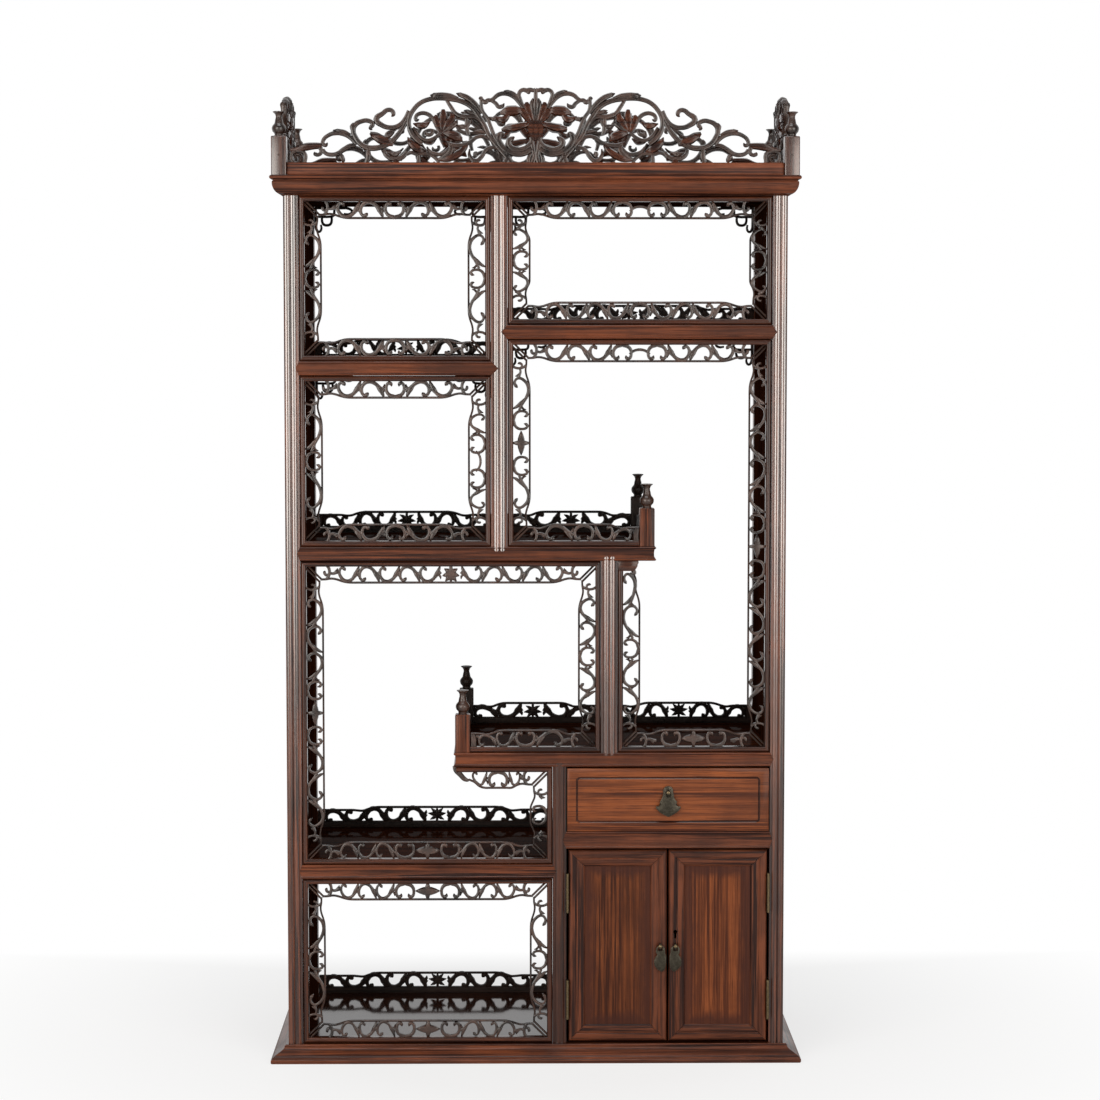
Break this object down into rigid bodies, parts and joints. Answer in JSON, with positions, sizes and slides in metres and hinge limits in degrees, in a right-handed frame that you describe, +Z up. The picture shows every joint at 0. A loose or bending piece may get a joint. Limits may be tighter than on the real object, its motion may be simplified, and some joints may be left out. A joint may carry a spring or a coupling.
{
  "type": "display cabinet",
  "caption": "Stepped hardwood display cabinet: open cells edged with scroll fretwork, a drawer, a cupboard with hinged doors, and a carved pediment between finials.",
  "frame": {"origin": "middle of the underside of the base, on the floor", "axes": "+Z up, -Y out of the front, +X to the right as seen from the front"},
  "size_m": [0.602, 0.279, 1.1],
  "materials": {
    "dark_wood": "polished dark reddish hardwood",
    "stile_wood": "polished reeded hardwood",
    "fret_wood": "carved and pierced hardwood, waxed",
    "panel_wood": "warm brown figured hardwood, polished",
    "pale_wood": "plain unpolished drawer lining",
    "bronze": "dark toned metal",
    "brass": "aged yellow brass"
  },
  "bodies": {
    "cabinet": {"base_plinth": "dark_wood", "cornice": "dark_wood", "left_front_stile": "stile_wood", "right_front_stile": "stile_wood", "left_back_stile": "stile_wood", "right_back_stile": "stile_wood", "left_side_panel": "dark_wood", "right_side_panel": "dark_wood", "upper_divider": "stile_wood", "middle_divider": "stile_wood", "lower_divider": "stile_wood", "upper_left_shelf": "dark_wood", "upper_right_shelf": "dark_wood", "middle_shelf": "dark_wood", "stepped_shelf": "dark_wood", "lower_left_shelf": "dark_wood", "drawer_rail": "dark_wood", "cupboard_back": "dark_wood", "upper_left_fret": "fret_wood", "second_left_fret": "fret_wood", "upper_right_fret": "fret_wood", "tall_right_fret": "fret_wood", "wide_left_fret": "fret_wood", "lower_left_fret": "fret_wood", "upper_left_gallery": "fret_wood", "second_left_gallery": "fret_wood", "upper_right_gallery": "fret_wood", "middle_step_gallery": "fret_wood", "stepped_step_gallery": "fret_wood", "stepped_right_gallery": "fret_wood", "wide_left_gallery": "fret_wood", "lower_left_gallery": "fret_wood", "middle_step_post": "stile_wood", "stepped_step_post": "stile_wood", "front_pediment": "fret_wood", "back_pediment": "fret_wood", "left_gable": "fret_wood", "right_gable": "fret_wood", "left_corner_post": "stile_wood", "right_corner_post": "stile_wood", "left_upper_hinge_leaf": "brass", "left_lower_hinge_leaf": "brass", "right_upper_hinge_leaf": "brass", "right_lower_hinge_leaf": "brass"},
    "drawer": {"drawer_front": "panel_wood", "drawer_box": "pale_wood", "drawer_pull_eye": "bronze"},
    "drawer_pull": {"drawer_pull": "bronze"},
    "left_door": {"left_door_frame": "dark_wood", "left_door_panel": "panel_wood", "left_door_pull_eye": "bronze", "left_upper_door_leaf": "brass", "left_lower_door_leaf": "brass"},
    "left_door_pull": {"left_door_pull": "bronze"},
    "right_door": {"right_door_frame": "dark_wood", "right_door_panel": "panel_wood", "right_door_pull_eye": "bronze", "right_upper_door_leaf": "brass", "right_lower_door_leaf": "brass"},
    "right_door_pull": {"right_door_pull": "bronze"}
  },
  "joints": [
    {"name": "drawer_slide", "type": "slide", "parent": "cabinet", "child": "drawer", "axis": [0, -1, 0], "range_m": [0, 0.16]},
    {"name": "drawer_pull_swing", "type": "hinge", "parent": "drawer", "child": "drawer_pull", "pos_m": [0.15002, -0.1245, 0.30725], "axis": [-1, 0, 0], "range_deg": [0, 80]},
    {"name": "left_door_hinge", "type": "hinge", "parent": "cabinet", "child": "left_door", "pos_m": [0.0358, -0.12255, 0.13095], "axis": [0, 0, -1], "range_deg": [0, 105]},
    {"name": "left_door_pull_swing", "type": "hinge", "parent": "left_door", "child": "left_door_pull", "pos_m": [0.14133, -0.1245, 0.13095], "axis": [-1, 0, 0], "range_deg": [0, 80]},
    {"name": "right_door_hinge", "type": "hinge", "parent": "cabinet", "child": "right_door", "pos_m": [0.26425, -0.12255, 0.13095], "axis": [0, 0, 1], "range_deg": [0, 105]},
    {"name": "right_door_pull_swing", "type": "hinge", "parent": "right_door", "child": "right_door_pull", "pos_m": [0.15873, -0.1245, 0.13095], "axis": [-1, 0, 0], "range_deg": [0, 80]}
  ]
}
